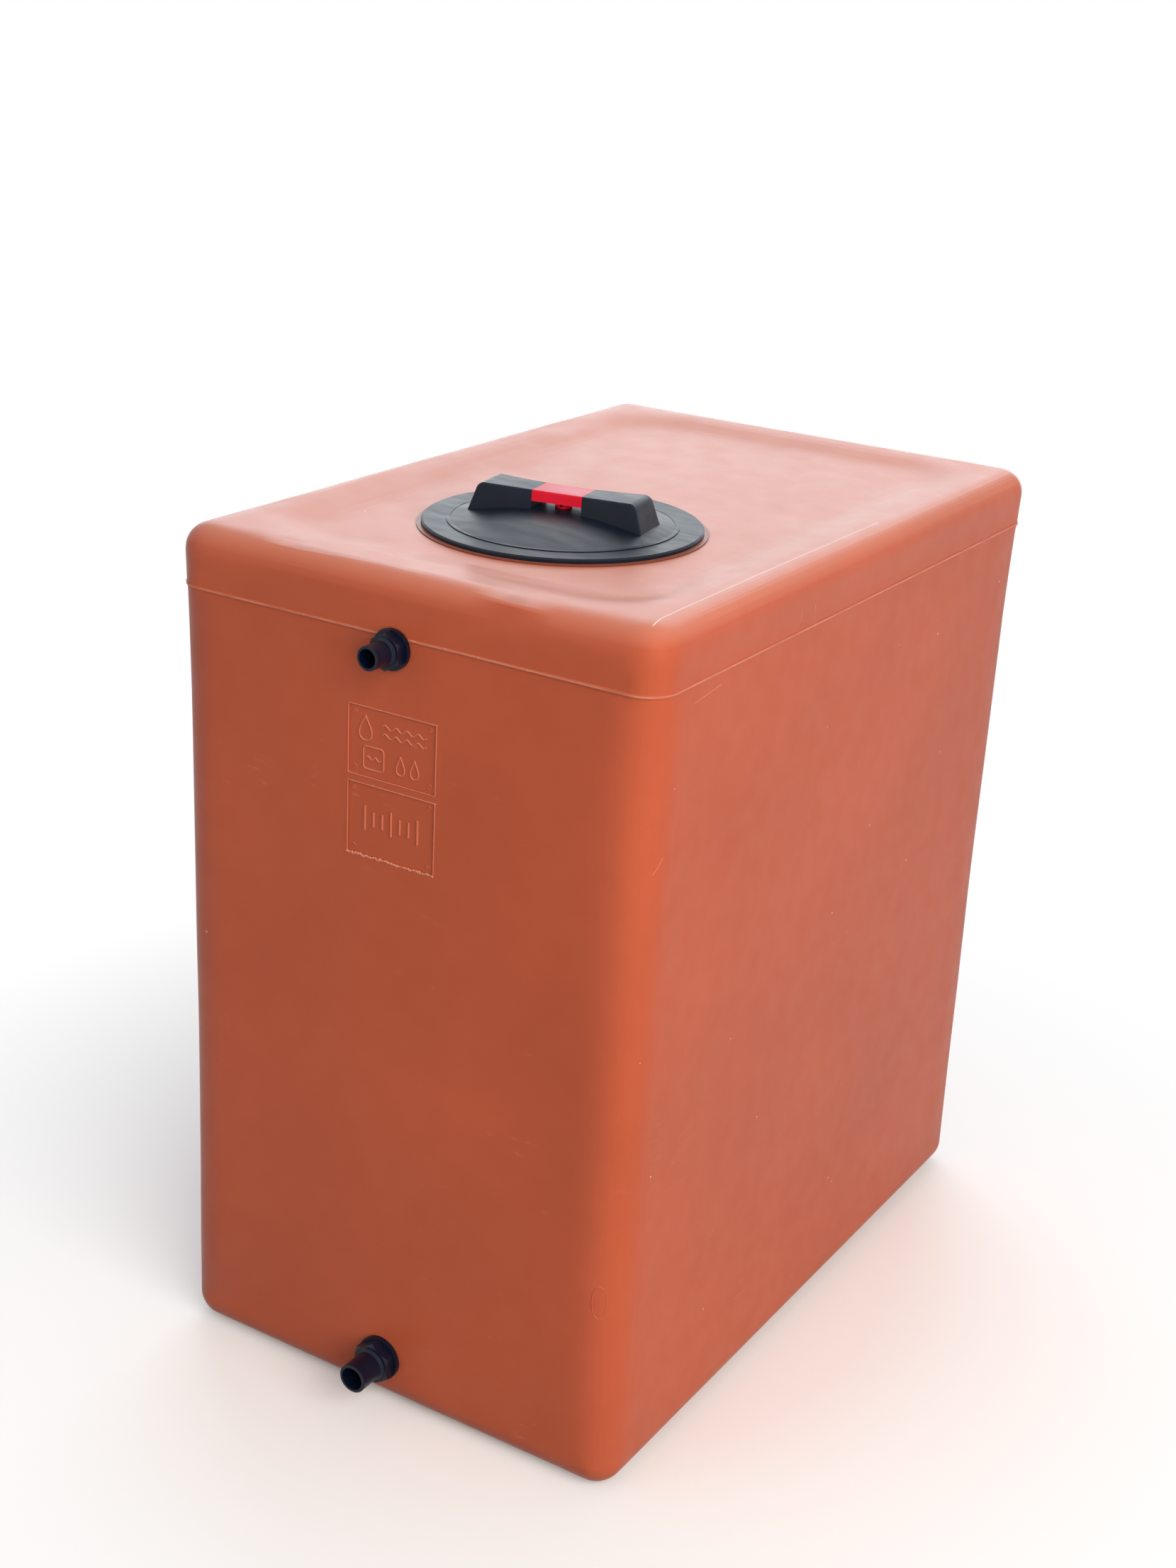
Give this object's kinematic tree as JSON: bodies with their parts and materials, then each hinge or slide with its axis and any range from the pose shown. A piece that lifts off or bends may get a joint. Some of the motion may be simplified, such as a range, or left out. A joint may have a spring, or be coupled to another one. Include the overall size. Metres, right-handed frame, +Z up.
{
  "type": "slimline water tank",
  "caption": "Tall hollow moulded water tank with a screw lid in its top and a hose tail near the top and the foot of its narrow front wall.",
  "frame": {"origin": "centre of the flat base the tank stands on", "axes": "+Z up, -Y out of the narrow front wall with the hose tails, +X out of the long wall to the right of it"},
  "size_m": [0.5086, 0.8123, 0.8593],
  "materials": {
    "tank_plastic": "moulded polyethylene",
    "lid_plastic": "satin black",
    "vent_plastic": "red, satin",
    "fitting_plastic": "satin black",
    "seal_rubber": "black rubber"
  },
  "bodies": {
    "tank": {"tank_shell": "tank_plastic", "upper_hose_tail": "fitting_plastic", "upper_outer_washer": "seal_rubber", "upper_inner_washer": "seal_rubber", "upper_backnut": "fitting_plastic", "lower_hose_tail": "fitting_plastic", "lower_outer_washer": "seal_rubber", "lower_inner_washer": "seal_rubber", "lower_backnut": "fitting_plastic"},
    "gasket": {"lid_gasket": "seal_rubber"},
    "lid": {"screw_lid": "lid_plastic", "vent_cap": "vent_plastic"}
  },
  "joints": [
    {"name": "lid_rise", "type": "slide", "parent": "tank", "child": "gasket", "axis": [0, 0, 1], "range_m": [0, 0.025]},
    {"name": "lid_turn", "type": "hinge", "parent": "gasket", "child": "lid", "pos_m": [0, -0.135, 0.824], "axis": [0, 0, 1], "range_deg": [0, 900]}
  ],
  "couplings": [
    {"joint": "lid_rise", "follows": "lid_turn", "m_per_rad": 0.0015915}
  ]
}
